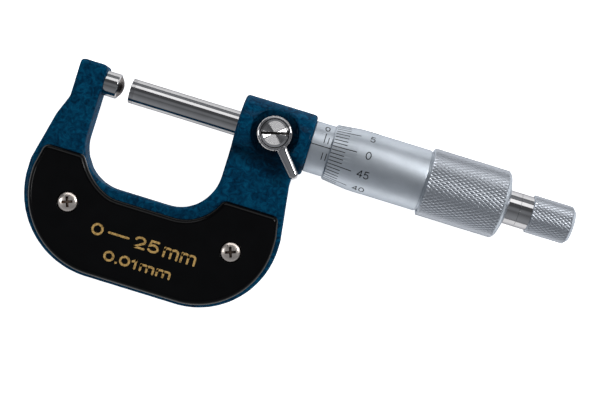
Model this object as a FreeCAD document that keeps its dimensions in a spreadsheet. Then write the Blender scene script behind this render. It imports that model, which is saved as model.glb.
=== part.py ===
import FreeCAD, Part
import math
import os

import Sketcher
from FreeCAD import Placement, Rotation, Vector

# Outside micrometer, 0-25 mm.
# Frame of the model: origin at the crown of the anvil's measuring face, on the measuring axis.
# +X runs along the spindle towards the ratchet, the bow hangs towards -Y, and the lock lever
# and the lettered plate face +Z. Everything that the thimble carries stands at `opening`.

DIMENSIONS = {
    # Reading as drawn, and the screw.
    "opening": 1.99,
    "pitch": 0.5,
    # Measuring faces and spindle.
    "spindle_radius": 3.25,
    "running_gap": 0.05,
    "tip_length": 1.1,
    "dome_radius": 3.8,
    "dome_base_radius": 2.75,
    "dome_seat_depth": 0.6,
    "anvil_chamfer": 0.3,
    "anvil_reach": 5.0,
    "anvil_shank_radius": 2.5,
    "anvil_shank_length": 6.0,
    "shank_end": 42.0,
    "thread_start": 44.0,
    "thread_end": 83.0,
    "thread_crest": 3.65,
    "thread_depth": 0.27,
    "collar_start": 88.0,
    "collar_radius": 4.2,
    "taper_start": 91.0,
    "taper_end": 98.0,
    "taper_small_radius": 3.6,
    # Bow frame.
    "web_thickness": 9.0,
    "web_rounding": 0.9,
    "arm_width": 7.0,
    "arm_top": 4.2,
    "throat_end": 31.0,
    "throat_depth": 25.4,
    "throat_radius": 11.2,
    "bow_depth": 48.8,
    "bow_left": 16.9,
    "bow_right": 50.1,
    "bow_left_radius": 22.1,
    "bow_right_radius": 21.0,
    "hub_radius": 8.0,
    "hub_end": 50.0,
    "hub_chamfer": 0.5,
    "sleeve_seat": 43.9,
    # Barrel.
    "barrel_nose_radius": 4.7,
    "barrel_radius": 5.5,
    "barrel_end": 84.0,
    "barrel_clear_bore": 3.95,
    "nut_start": 70.0,
    "nut_gap": 0.07,
    "slit_width": 0.8,
    "slit_length": 8.0,
    "sleeve_radius": 6.75,
    "sleeve_end": 80.4,
    "barrel_thread_radius": 5.3,
    "ring_length": 3.8,
    "ring_radius": 6.5,
    # Thimble.
    "thimble_zero": 53.3,
    "thimble_bore": 6.95,
    "thimble_edge_radius": 7.3,
    "bevel_length": 6.8,
    "thimble_radius": 8.1,
    "grip_start": 79.1,
    "grip_radius": 9.0,
    "grip_end": 99.2,
    "dome_start": 100.0,
    "dome_small_radius": 5.0,
    "thimble_end": 100.9,
    "thimble_wall": 92.0,
    # Ratchet stop.
    "stem_radius": 4.45,
    "stem_length": 3.1,
    "stem_stud_radius": 1.6,
    "post_radius": 1.5,
    "post_length": 12.75,
    "tooth_count": 12.0,
    "tooth_width": 1.0,
    "tooth_depth": 0.4,
    "pawl_lift": 0.45,
    "pawl_radius": 3.55,
    "pawl_thickness": 1.2,
    "key_width": 1.1,
    "key_reach": 4.0,
    "knob_bore": 3.6,
    "knob_length": 14.45,
    "knob_grip_start": 3.15,
    "knob_radius": 5.0,
    "knob_end_wall": 3.5,
    "knob_chamfer": 1.1,
    "end_screw_radius": 2.2,
    "washer_thickness": 0.3,
    "spring_radius": 2.6,
    "spring_wire": 0.25,
    "spring_turns": 6.0,
    # Spindle lock.
    "lock_x": 40.8,
    "lock_floor": 5.2,
    "lock_recess_radius": 6.2,
    "lock_hole_radius": 2.6,
    "stud_radius": 2.5,
    "shoe_top": 4.3,
    "shoe_gap": 0.12,
    "lever_ring_radius": 4.45,
    "lever_ring_top": 9.8,
    "lever_sink": 0.8,
    "lever_bore": 3.6,
    "lever_reach": 12.5,
    "lever_width": 3.0,
    "lever_underside": 7.6,
    "lever_angle": -49.0,
    "lever_bevel": 0.6,
    "lock_slot_angle": 17.0,
    # Heat-insulating plates and their screws.
    "plate_thickness": 2.0,
    "plate_rounding": 1.4,
    "screw_left": 4.3,
    "screw_right": 38.9,
    "screw_depth": 31.9,
    "screw_head_radius": 2.6,
    "screw_head_height": 1.2,
    "screw_sink": 0.8,
    "screw_radius": 1.1,
    "screw_length": 4.2,
}

# Corners that only shape the bow's outline, from the hub round to the anvil arm.
FLARE_TOP = (-12.0, -6.0)
FLARE_STEP = (-14.0, -11.2)
BOW_SHOULDER_LEFT = -24.0
BOW_SHOULDER_RIGHT = -26.0
WEB_RIGHT_TOP = (48.0, -11.5)
WEB_TOP_IN_HUB = 6.0

# Corners of the heat-insulating plates, with the radius of each rounded corner.
PLATE_CORNERS = [
    (-14.2, -19.2, 2.0),
    (-4.0, -19.2, 1.8),
    (0.2, -25.4, 15.0),
    (6.0, -27.8, 8.0),
    (29.7, -27.8, 11.7),
    (33.4, -19.8, 1.8),
    (47.9, -19.8, 1.8),
    (49.0, -25.5, 8.0),
    (49.1, -48.1, 19.9),
    (-15.6, -48.1, 21.0),
    (-15.5, -25.5, 8.0),
]

doc = FreeCAD.newDocument("outside_micrometer")


class Size:
    """A length: its value now, and the formula that ties it to the sheet."""

    def __init__(self, value, formula):
        self.value = value
        self.formula = formula

    def __add__(self, other):
        other = as_size(other)
        return Size(self.value + other.value, f"({self.formula} + {other.formula})")

    def __sub__(self, other):
        other = as_size(other)
        return Size(self.value - other.value, f"({self.formula} - {other.formula})")

    def __mul__(self, factor):
        return Size(self.value * factor, f"({self.formula} * {factor})")

    def __neg__(self):
        return Size(-self.value, f"(-{self.formula})")


def as_size(number):
    return number if isinstance(number, Size) else Size(float(number), f"({float(number)})")


class Dims:
    """The driving dimensions by name."""


def make_sheet():
    sheet = doc.addObject("Spreadsheet::Sheet", "dims")
    dims = Dims()
    for row, (alias, value) in enumerate(DIMENSIONS.items(), start=1):
        sheet.set(f"A{row}", alias)
        sheet.set(f"B{row}", str(value))
        sheet.setAlias(f"B{row}", alias)
        setattr(dims, alias, Size(value, f"dims.{alias}"))
    doc.recompute()
    return dims


D = make_sheet()
ZERO = as_size(0)


def bind(thing, prop, length):
    """Set a property from a size, and keep it tied to the sheet."""
    thing.setExpression(prop, as_size(length).formula)


def origin_feature(body, role):
    return next(part for part in body.Origin.OriginFeatures if part.Role == role)


def new_body(label):
    body = doc.addObject("PartDesign::Body", label)
    body.Label = label
    return body


def new_sketch(body, name, plane, height=None):
    """A sketch on one of the body's own origin planes, or lifted from it by height."""
    sketch = body.newObject("Sketcher::SketchObject", name)
    sketch.AttachmentSupport = [(origin_feature(body, plane), "")]
    sketch.MapMode = "FlatFace"
    if height is not None:
        bind(sketch, "AttachmentOffset.Base.z", height)
    return sketch


def tie_point(sketch, geometry, vertex, x, y):
    """Hold one point of a sketch at (x, y) from the sketch's origin."""
    for kind, axis, length in (("DistanceX", -2, x), ("DistanceY", -1, y)):
        if length.value == 0.0:
            sketch.addConstraint(Sketcher.Constraint("PointOnObject", geometry, vertex, axis))
            continue
        ends = (-1, 1, geometry, vertex) if length.value > 0 else (geometry, vertex, -1, 1)
        index = sketch.addConstraint(Sketcher.Constraint(kind, *ends, abs(length.value)))
        sign = length if length.value > 0 else -length
        sketch.setExpression(f"Constraints[{index}]", sign.formula)


def draw_polygon(sketch, corners):
    """A closed outline of straight lines, with every corner tied to the sheet."""
    corners = [(as_size(x), as_size(y)) for x, y in corners]
    points = [Vector(x.value, y.value, 0) for x, y in corners]
    following = points[1:] + points[:1]
    for start, end in zip(points, following):
        sketch.addGeometry(Part.LineSegment(start, end), False)
    for index in range(len(points)):
        after = (index + 1) % len(points)
        sketch.addConstraint(Sketcher.Constraint("Coincident", index, 2, after, 1))
    for index, (x, y) in enumerate(corners):
        tie_point(sketch, index, 1, x, y)


def draw_circle(sketch, x, y, radius):
    x, y, radius = as_size(x), as_size(y), as_size(radius)
    circle = Part.Circle(Vector(x.value, y.value, 0), Vector(0, 0, 1), radius.value)
    index = sketch.addGeometry(circle, False)
    tie_point(sketch, index, 3, x, y)
    held = sketch.addConstraint(Sketcher.Constraint("Radius", index, radius.value))
    sketch.setExpression(f"Constraints[{held}]", radius.formula)


def swept(body, kind, sketch, name, length=None, reverse=False, both=False):
    """A Pad or Pocket of a sketch. Unless reversed, a Pocket cuts against the sketch's normal."""
    feature = body.newObject(f"PartDesign::{kind}", name)
    feature.Profile = sketch
    feature.Reversed = reverse
    if both:
        feature.SideType = "Symmetric"
    bind(feature, "Length", length)
    return feature


def spun(body, kind, sketch, name, axis):
    """A Revolution or Groove of a sketch round one of its own axes."""
    feature = body.newObject(f"PartDesign::{kind}", name)
    feature.Profile = sketch
    feature.ReferenceAxis = (sketch, [axis])
    feature.Angle = 360
    return feature


def turned(label, profile, axis="X"):
    """A turned piece: profile gives (place along the axis, radius) round the outline."""
    body = new_body(label)
    if axis == "X":
        sketch = new_sketch(body, f"{label}_profile", "XY_Plane")
        draw_polygon(sketch, profile)
        spun(body, "Revolution", sketch, f"{label}_turned", "H_Axis")
    else:
        sketch = new_sketch(body, f"{label}_profile", "XZ_Plane")
        draw_polygon(sketch, [(radius, place) for place, radius in profile])
        spun(body, "Revolution", sketch, f"{label}_turned", "V_Axis")
    return body


def groove_round_x(body, name, profile):
    sketch = new_sketch(body, f"{name}_profile", "XY_Plane")
    draw_polygon(sketch, profile)
    spun(body, "Groove", sketch, name, "H_Axis")


def edges_where(shape, test):
    return [f"Edge{i}" for i, edge in enumerate(shape.Edges, start=1) if test(edge)]


def upright_edges_at(shape, x, y):
    """Edges parallel to Z that stand at (x, y)."""

    def stands_there(edge):
        box = edge.BoundBox
        if box.XLength > 0.01 or box.YLength > 0.01:
            return False
        return abs(box.XMin - x) < 0.01 and abs(box.YMin - y) < 0.01

    return edges_where(shape, stands_there)


def round_corners(body, name, corners):
    """Round upright corners of a padded outline: (x, y, radius) for each."""
    for count, (x, y, radius) in enumerate(corners, start=1):
        doc.recompute()
        base = body.Tip
        edges = upright_edges_at(base.Shape, as_size(x).value, as_size(y).value)
        if len(edges) != 1:
            raise RuntimeError(f"{name}: {len(edges)} edges at corner {count}")
        feature = body.newObject("PartDesign::Fillet", f"{name}_{count}")
        feature.Base = (base, edges)
        bind(feature, "Radius", radius)
    doc.recompute()


def round_face_rim(body, name, heights, radius):
    """Round every edge that lies flat at one of the given heights along Z."""
    base = body.Tip

    def lies_flat(edge):
        box = edge.BoundBox
        return box.ZLength < 0.01 and any(abs(box.ZMin - z) < 0.01 for z in heights)

    feature = body.newObject("PartDesign::Fillet", name)
    feature.Base = (base, edges_where(base.Shape, lies_flat))
    bind(feature, "Radius", radius)
    doc.recompute()


def place(thing, x=0, y=0, z=0):
    for axis, length in (("x", x), ("y", y), ("z", z)):
        if as_size(length).value != 0.0:
            bind(thing, f"Placement.Base.{axis}", length)


def turn_about_z(thing, angle):
    thing.Placement = Placement(Vector(0, 0, 0), Rotation(Vector(0, 0, 1), angle.value))
    bind(thing, "Placement.Rotation.Angle", angle)


def lay_along_x(thing):
    """Turn a piece that was made along Z so that it runs along X."""
    thing.Placement = Placement(Vector(0, 0, 0), Rotation(Vector(0, 1, 0), 90))


# ---------------------------------------------------------------- frame and plates


def make_frame():
    """Forged bow: a flat web with a round hub, bored for the anvil, spindle and barrel."""
    body = new_body("frame")
    arm_face = -D.anvil_reach
    arm_back = -(D.anvil_reach + D.arm_width)
    corners = [
        (arm_back, D.arm_top),
        (arm_face, D.arm_top),
        (arm_face, -D.throat_depth),
        (D.throat_end, -D.throat_depth),
        (D.throat_end, WEB_TOP_IN_HUB),
        (WEB_RIGHT_TOP[0], WEB_TOP_IN_HUB),
        WEB_RIGHT_TOP,
        (D.bow_right, BOW_SHOULDER_RIGHT),
        (D.bow_right, -D.bow_depth),
        (-D.bow_left, -D.bow_depth),
        (-D.bow_left, BOW_SHOULDER_LEFT),
        FLARE_STEP,
        FLARE_TOP,
    ]
    outline = new_sketch(body, "bow_outline", "XY_Plane")
    draw_polygon(outline, corners)
    swept(body, "Pad", outline, "web", D.web_thickness, both=True)
    round_corners(
        body,
        "bow_corner",
        [
            (arm_back, D.arm_top, 1.0),
            (arm_face, D.arm_top, 1.0),
            (arm_face, -D.throat_depth, D.throat_radius),
            (D.throat_end, -D.throat_depth, D.throat_radius),
            (D.bow_right, BOW_SHOULDER_RIGHT, 6.0),
            (D.bow_right, -D.bow_depth, D.bow_right_radius),
            (-D.bow_left, -D.bow_depth, D.bow_left_radius),
            (-D.bow_left, BOW_SHOULDER_LEFT, 6.0),
            (*FLARE_STEP, 4.0),
            (*FLARE_TOP, 3.0),
        ],
    )
    half = D.web_thickness.value / 2
    round_face_rim(body, "web_rim", (half, -half), D.web_rounding)

    hub = new_sketch(body, "hub_profile", "XY_Plane")
    draw_polygon(
        hub,
        [
            (D.throat_end, ZERO),
            (D.throat_end, D.hub_radius - D.hub_chamfer),
            (D.throat_end + D.hub_chamfer, D.hub_radius),
            (D.hub_end - D.hub_chamfer, D.hub_radius),
            (D.hub_end, D.hub_radius - D.hub_chamfer),
            (D.hub_end, ZERO),
        ],
    )
    spun(body, "Revolution", hub, "hub", "H_Axis")

    bore = D.spindle_radius + D.running_gap
    groove_round_x(
        body,
        "hub_bore",
        [
            (D.throat_end - 1, ZERO),
            (D.throat_end - 1, bore),
            (D.sleeve_seat, bore),
            (D.sleeve_seat, D.barrel_nose_radius),
            (D.hub_end + 1, D.barrel_nose_radius),
            (D.hub_end + 1, ZERO),
        ],
    )
    groove_round_x(
        body,
        "anvil_bore",
        [
            (arm_face - D.anvil_shank_length, ZERO),
            (arm_face - D.anvil_shank_length, D.anvil_shank_radius),
            (arm_face + 1, D.anvil_shank_radius),
            (arm_face + 1, ZERO),
        ],
    )

    recess = new_sketch(body, "lock_recess_outline", "XY_Plane", D.lock_floor)
    draw_circle(recess, D.lock_x, ZERO, D.lock_recess_radius)
    swept(body, "Pocket", recess, "lock_recess", D.hub_radius, reverse=True)
    hole = new_sketch(body, "lock_hole_outline", "XY_Plane")
    draw_circle(hole, D.lock_x, ZERO, D.lock_hole_radius)
    swept(body, "Pocket", hole, "lock_hole", D.hub_radius, reverse=True)
    screws = new_sketch(body, "plate_screw_holes", "XY_Plane", -D.web_thickness)
    for x in (-D.screw_left, D.screw_right):
        draw_circle(screws, x, -D.screw_depth, D.screw_radius)
    swept(body, "Pocket", screws, "plate_screw_bores", D.web_thickness * 2, reverse=True)
    return body


def make_plate(label, back):
    """Moulded plate that keeps the warmth of the hand off the bow."""
    body = new_body(label)
    outline = new_sketch(body, f"{label}_outline", "XY_Plane", D.web_thickness * 0.5)
    draw_polygon(outline, [(x, y) for x, y, _ in PLATE_CORNERS])
    swept(body, "Pad", outline, f"{label}_slab", D.plate_thickness)
    round_corners(body, f"{label}_corner", PLATE_CORNERS)
    top = D.web_thickness * 0.5 + D.plate_thickness
    round_face_rim(body, f"{label}_rim", (top.value,), D.plate_rounding)
    for name, radius, floor in (
        ("hole", D.screw_radius, D.web_thickness * 0.5),
        ("sink", D.screw_head_radius + 0.15, top - D.screw_sink),
    ):
        sketch = new_sketch(body, f"{label}_{name}_outline", "XY_Plane", floor)
        for x in (-D.screw_left, D.screw_right):
            draw_circle(sketch, x, -D.screw_depth, radius)
        swept(body, "Pocket", sketch, f"{label}_{name}", D.plate_thickness, reverse=True)
    if back:
        return mirrored(label, body)
    return body


def mirrored(label, body):
    """The same piece on the other side of the bow."""
    body.Label = f"{label}_drawn_in_front"
    mirror = doc.addObject("Part::Mirroring", f"{label}_mirror")
    mirror.Source = body
    mirror.Normal = Vector(0, 0, 1)
    mirror.Label = label
    return mirror


def make_plate_screws(label, back):
    """Two round-head screws with cross recesses."""
    seat = D.web_thickness * 0.5 + D.plate_thickness - D.screw_sink
    screws = []
    for side, x in (("left", -D.screw_left), ("right", D.screw_right)):
        name = f"{label}_{side}"
        profile = [
            (ZERO, D.screw_head_radius),
            (D.screw_head_height * 0.45, D.screw_head_radius),
            (D.screw_head_height * 0.8, D.screw_head_radius * 0.8),
            (D.screw_head_height, D.screw_head_radius * 0.5),
            (D.screw_head_height, ZERO),
            (-D.screw_length, ZERO),
            (-D.screw_length, D.screw_radius * 0.4),
            (-D.screw_length + D.screw_radius, D.screw_radius),
            (ZERO, D.screw_radius),
        ]
        body = turned(name, profile, axis="Z")
        arm = D.screw_head_radius * 0.55
        half = D.screw_head_radius * 0.13
        for turn, (across, along) in (("wide", (arm, half)), ("tall", (half, arm))):
            sketch = new_sketch(body, f"{name}_{turn}", "XY_Plane", D.screw_head_height * 0.35)
            draw_polygon(
                sketch, [(-across, -along), (across, -along), (across, along), (-across, along)]
            )
            swept(body, "Pocket", sketch, f"{name}_{turn}_cut", D.screw_head_height, reverse=True)
        place(body, x, -D.screw_depth, seat)
        screws.append(body)
    pair = doc.addObject("Part::Compound", f"{label}_pair")
    pair.Links = screws
    pair.Label = label
    return mirrored(label, pair) if back else pair


# ---------------------------------------------------------------- anvil and spindle


def dome_depth():
    """How far the rim of the domed face lies behind its crown."""
    radius = D.dome_radius.value
    return radius - math.sqrt(radius**2 - D.dome_base_radius.value**2)


def make_anvil():
    rim = as_size(-dome_depth())
    face_radius = D.spindle_radius - D.anvil_chamfer
    return turned(
        "anvil",
        [
            (-(D.anvil_reach + D.anvil_shank_length), ZERO),
            (-(D.anvil_reach + D.anvil_shank_length), D.anvil_shank_radius),
            (-D.anvil_reach, D.anvil_shank_radius),
            (-D.anvil_reach, D.spindle_radius),
            (rim - D.anvil_chamfer, D.spindle_radius),
            (rim, face_radius),
            (rim, D.dome_base_radius),
            (rim - D.dome_seat_depth, D.dome_base_radius),
            (rim - D.dome_seat_depth, ZERO),
        ],
    )


def make_anvil_tip():
    """Hard-metal insert with a domed measuring face: a ball trimmed to a short pin."""
    ball = doc.addObject("Part::Sphere", "dome_ball")
    bind(ball, "Radius", D.dome_radius)
    place(ball, -D.dome_radius)
    pin = doc.addObject("Part::Cylinder", "dome_pin")
    bind(pin, "Radius", D.dome_base_radius)
    lay_along_x(pin)
    length = as_size(dome_depth()) + D.dome_seat_depth
    bind(pin, "Height", length)
    place(pin, -length)
    tip = doc.addObject("Part::Common", "anvil_tip")
    tip.Base = ball
    tip.Tool = pin
    tip.Label = "anvil_tip"
    return tip


def make_spindle_tip():
    return turned(
        "spindle_tip",
        [
            (D.opening, ZERO),
            (D.opening, D.spindle_radius - 0.1),
            (D.opening + 0.1, D.spindle_radius),
            (D.opening + D.tip_length, D.spindle_radius),
            (D.opening + D.tip_length, ZERO),
        ],
    )


def make_spindle():
    """Ground spindle with its screw drawn as rings one pitch apart.

    The screw has 78 teeth, so its outline is worked out here rather than sketched.
    """
    shift = D.opening.value
    root = D.thread_crest.value - D.thread_depth.value
    pitch = D.pitch.value
    start, end = D.thread_start.value, D.thread_end.value
    outline = [
        (D.tip_length.value, 0),
        (D.tip_length.value, D.spindle_radius.value),
        (D.shank_end.value, D.spindle_radius.value),
        (D.shank_end.value + 0.3, root - 0.3),
        (start - 0.5, root - 0.3),
    ]
    for tooth in range(round((end - start) / pitch)):
        foot = start + tooth * pitch
        outline.append((foot, root))
        outline.append((foot + pitch / 2, D.thread_crest.value))
    outline += [
        (end, root),
        (end, root - 0.2),
        (D.collar_start.value, root - 0.2),
        (D.collar_start.value, D.collar_radius.value),
        (D.taper_start.value, D.collar_radius.value),
        (D.taper_end.value, D.taper_small_radius.value),
        (D.taper_end.value, D.stem_stud_radius.value),
        (D.taper_start.value, D.stem_stud_radius.value),
        (D.taper_start.value, 0),
    ]
    points = [Vector(x, radius, 0) for x, radius in outline]
    face = Part.Face(Part.makePolygon(points + points[:1]))
    spindle = doc.addObject("Part::Feature", "spindle")
    spindle.Shape = face.revolve(Vector(0, 0, 0), Vector(1, 0, 0), 360)
    spindle.Placement = Placement(Vector(shift, 0, 0), Rotation())
    spindle.Label = "spindle"
    return spindle


# ---------------------------------------------------------------- barrel and thimble


def make_threaded_sleeve():
    """Fixed barrel: its nose sits in the hub and its slit end holds the nut thread."""
    nut_bore = D.thread_crest + D.nut_gap
    thread_from = D.barrel_end - D.ring_length - 0.5
    body = turned(
        "threaded_sleeve",
        [
            (D.sleeve_seat, D.barrel_clear_bore),
            (D.sleeve_seat, D.barrel_nose_radius),
            (D.hub_end, D.barrel_nose_radius),
            (D.hub_end, D.barrel_radius),
            (thread_from, D.barrel_radius),
            (thread_from, D.barrel_thread_radius),
            (D.barrel_end, D.barrel_thread_radius),
            (D.barrel_end, nut_bore),
            (D.nut_start, nut_bore),
            (D.nut_start, D.barrel_clear_bore),
        ],
    )
    slit = new_sketch(body, "barrel_slit_outline", "XY_Plane")
    start = D.barrel_end - D.slit_length
    half = D.slit_width * 0.5
    draw_polygon(
        slit,
        [(start, -half), (D.barrel_end + 1, -half), (D.barrel_end + 1, half), (start, half)],
    )
    first = swept(body, "Pocket", slit, "barrel_slit", D.hub_radius, reverse=True)
    repeat_round_x(body, first, 3)
    return body


def repeat_round_x(body, feature, count):
    pattern = body.newObject("PartDesign::PolarPattern", f"{feature.Name}_pattern")
    pattern.Originals = [feature]
    pattern.Axis = (origin_feature(body, "X_Axis"), [""])
    pattern.Angle = 360
    pattern.Occurrences = count
    body.Tip = pattern
    return pattern


def make_graduated_sleeve():
    """Outer sleeve that carries the millimetre scale; a spanner hole turns it to set zero."""
    body = turned(
        "graduated_sleeve",
        [
            (D.hub_end, D.barrel_radius),
            (D.hub_end, D.sleeve_radius),
            (D.sleeve_end, D.sleeve_radius),
            (D.sleeve_end, D.barrel_radius),
        ],
    )
    hole = new_sketch(body, "spanner_hole_outline", "XY_Plane")
    draw_circle(hole, D.hub_end + 1.8, ZERO, 0.6)
    swept(body, "Pocket", hole, "spanner_hole", D.hub_radius)
    return body


def make_adjusting_nut():
    """Ring nut that closes the slit end of the barrel on the screw to take up play."""
    start = D.barrel_end - D.ring_length + 0.4
    end = start + D.ring_length
    body = turned(
        "adjusting_nut",
        [
            (start, D.barrel_thread_radius),
            (start, D.ring_radius),
            (end, D.ring_radius),
            (end, D.barrel_thread_radius),
        ],
    )
    notch = new_sketch(body, "ring_notch_outline", "XY_Plane")
    draw_polygon(notch, [(end - 1, -0.5), (end + 1, -0.5), (end + 1, 0.5), (end - 1, 0.5)])
    first = swept(body, "Pocket", notch, "ring_notch", D.hub_radius, reverse=True)
    repeat_round_x(body, first, 4)
    return body


def make_thimble():
    """Thimble with bevelled scale edge, plain drum and grip, held on the spindle's taper."""
    go = D.opening
    slope = (D.collar_radius - D.taper_small_radius).value / (D.taper_end - D.taper_start).value
    wall_bore = D.collar_radius - (D.thimble_wall - D.taper_start) * slope
    return turned(
        "thimble",
        [
            (D.thimble_zero + go, D.thimble_bore),
            (D.thimble_zero + go, D.thimble_edge_radius),
            (D.thimble_zero + D.bevel_length + go, D.thimble_radius),
            (D.grip_start - 0.5 + go, D.thimble_radius),
            (D.grip_start - 0.4 + go, D.thimble_radius - 0.3),
            (D.grip_start + go, D.thimble_radius - 0.3),
            (D.grip_start + go, D.grip_radius - 0.4),
            (D.grip_start + 0.4 + go, D.grip_radius),
            (D.grip_end + go, D.grip_radius),
            (D.dome_start + go, D.thimble_radius),
            (D.thimble_end + go, D.dome_small_radius),
            (D.thimble_end + go, D.taper_small_radius),
            (D.taper_end + go, D.taper_small_radius),
            (D.thimble_wall + go, wall_bore),
            (D.thimble_wall + go, D.thimble_bore),
        ],
    )


# ---------------------------------------------------------------- ratchet stop


def stem_face():
    """Where the ratchet's teeth face the pawl."""
    return D.thimble_end + D.stem_length + D.opening


def tooth_section(face, height, width):
    """Saw tooth that stands on a face and points back along -X."""
    return [
        (face, width * -0.5),
        (face - height, width * 0.35),
        (face, width * 0.5),
    ]


def make_ratchet_stem():
    """Stem that locks the thimble on its taper and carries the toothed crown and the post."""
    go = D.opening
    face = stem_face()
    post_end = face + D.post_length
    body = turned(
        "ratchet_stem",
        [
            (D.taper_start + 0.5 + go, ZERO),
            (D.taper_start + 0.5 + go, D.stem_stud_radius),
            (D.taper_end + 0.3 + go, D.stem_stud_radius),
            (D.taper_end + 0.3 + go, D.taper_small_radius - 0.4),
            (D.thimble_end + go, D.taper_small_radius - 0.4),
            (D.thimble_end + go, D.stem_radius),
            (face, D.stem_radius),
            (face, D.post_radius),
            (post_end, D.post_radius),
            (post_end, D.post_radius * 0.5),
            (post_end - 6, D.post_radius * 0.5),
            (post_end - 6, ZERO),
        ],
    )
    gap = new_sketch(body, "crown_gap_outline", "XY_Plane", D.post_radius + 0.5)
    draw_polygon(gap, tooth_section(face + 0.01, D.tooth_depth, D.tooth_width))
    first = swept(
        body, "Pocket", gap, "crown_gap", D.knob_bore - D.post_radius - 0.5, reverse=True
    )
    repeat_round_x(body, first, round(D.tooth_count.value))
    return body


def make_ratchet_pawl():
    """Toothed ring that the spring holds against the stem, drawn lifted clear of its teeth."""
    start = stem_face() + D.pawl_lift
    body = turned(
        "ratchet_pawl",
        [
            (start, D.post_radius + D.running_gap),
            (start, D.pawl_radius),
            (start + D.pawl_thickness, D.pawl_radius),
            (start + D.pawl_thickness, D.post_radius + D.running_gap),
        ],
    )
    tooth = new_sketch(body, "pawl_tooth_outline", "XY_Plane", D.post_radius + 0.6)
    draw_polygon(tooth, tooth_section(start, D.tooth_depth - 0.04, D.tooth_width * 0.9))
    first = swept(body, "Pad", tooth, "pawl_tooth", D.pawl_radius - D.post_radius - 0.8)
    repeat_round_x(body, first, round(D.tooth_count.value))
    half = D.key_width * 0.5
    key = new_sketch(body, "pawl_key_outline", "XY_Plane", -D.key_reach)
    end = start + D.pawl_thickness
    draw_polygon(key, [(start, -half), (end, -half), (end, half), (start, half)])
    swept(body, "Pad", key, "pawl_keys", D.key_reach - D.pawl_radius + 0.3)
    far_key = new_sketch(body, "pawl_far_key_outline", "XY_Plane", D.pawl_radius - 0.3)
    draw_polygon(far_key, [(start, -half), (end, -half), (end, half), (start, half)])
    swept(body, "Pad", far_key, "pawl_far_key", D.key_reach - D.pawl_radius + 0.3)
    return body


def make_ratchet_knob():
    face = stem_face() + D.running_gap
    end = face + D.knob_length
    grip = face + D.knob_grip_start
    inner_end = end - D.knob_end_wall
    floor = stem_face() + D.post_length - D.running_gap
    sink_radius = D.end_screw_radius + 0.5
    body = turned(
        "ratchet_knob",
        [
            (face, D.knob_bore),
            (face, D.stem_radius),
            (grip, D.stem_radius),
            (grip, D.knob_radius - 0.25),
            (grip + 0.25, D.knob_radius),
            (end - D.knob_chamfer, D.knob_radius),
            (end, D.knob_radius - D.knob_chamfer),
            (end, sink_radius),
            (floor, sink_radius),
            (floor, D.post_radius + D.running_gap),
            (inner_end, D.post_radius + D.running_gap),
            (inner_end, D.knob_bore),
        ],
    )
    half = D.key_width * 0.5 + 0.05
    keyway = new_sketch(body, "keyway_outline", "XY_Plane", -(D.key_reach + 0.05))
    draw_polygon(
        keyway, [(face - 1, -half), (face + 3, -half), (face + 3, half), (face - 1, half)]
    )
    swept(body, "Pocket", keyway, "keyways", (D.key_reach + 0.05) * 2, reverse=True)
    return body


def make_ratchet_spring():
    start = stem_face() + D.pawl_lift + D.pawl_thickness
    end = stem_face() + D.running_gap + D.knob_length - D.knob_end_wall
    length = end - start - D.spring_wire * 2.4
    coil = doc.addObject("Part::Helix", "spring_coil")
    bind(coil, "Height", length)
    bind(coil, "Radius", D.spring_radius)
    coil.setExpression("Pitch", f"{length.formula} / {D.spring_turns.formula}")
    wire = doc.addObject("Part::Circle", "spring_wire_section")
    bind(wire, "Radius", D.spring_wire)
    wire.Placement = Placement(Vector(0, 0, 0), Rotation(Vector(1, 0, 0), 90))
    place(wire, D.spring_radius)
    doc.recompute()
    spring = doc.addObject("Part::Sweep", "ratchet_spring")
    spring.Sections = [wire]
    spring.Spine = (coil, ["Edge1"])
    spring.Solid = True
    spring.Frenet = True
    lay_along_x(spring)
    place(spring, start + D.spring_wire * 1.2)
    spring.Label = "ratchet_spring"
    return spring


def make_ratchet_washer():
    start = stem_face() + D.post_length
    end = start + D.washer_thickness
    bore = D.post_radius * 0.5
    return turned(
        "ratchet_washer",
        [
            (start, bore),
            (start, D.end_screw_radius + 0.3),
            (end, D.end_screw_radius + 0.3),
            (end, bore),
        ],
    )


def make_ratchet_screw():
    start = stem_face() + D.post_length + D.washer_thickness
    body = turned(
        "ratchet_screw",
        [
            (start - 5, ZERO),
            (start - 5, D.post_radius * 0.5),
            (start, D.post_radius * 0.5),
            (start, D.end_screw_radius),
            (start + 0.9, D.end_screw_radius),
            (start + 1.2, D.end_screw_radius - 0.3),
            (start + 1.2, ZERO),
        ],
    )
    slot = new_sketch(body, "ratchet_screw_slot_outline", "XY_Plane", -D.hub_radius)
    draw_polygon(
        slot,
        [(start + 0.6, -0.3), (start + 2, -0.3), (start + 2, 0.3), (start + 0.6, 0.3)],
    )
    swept(body, "Pocket", slot, "ratchet_screw_slot", D.hub_radius * 2, reverse=True)
    return body


# ---------------------------------------------------------------- spindle lock


def make_lock_shoe():
    """Brass shoe whose saddle stands just off the spindle until the lock is turned."""
    foot = D.spindle_radius * 0.55
    plug = doc.addObject("Part::Cylinder", "shoe_plug")
    bind(plug, "Radius", D.stud_radius)
    bind(plug, "Height", D.shoe_top - foot)
    place(plug, D.lock_x, ZERO, foot)
    saddle = doc.addObject("Part::Cylinder", "shoe_saddle")
    bind(saddle, "Radius", D.spindle_radius + D.shoe_gap)
    bind(saddle, "Height", D.hub_radius * 2)
    lay_along_x(saddle)
    place(saddle, D.lock_x - D.hub_radius)
    shoe = doc.addObject("Part::Cut", "lock_shoe")
    shoe.Base = plug
    shoe.Tool = saddle
    shoe.Label = "lock_shoe"
    return shoe


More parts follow.
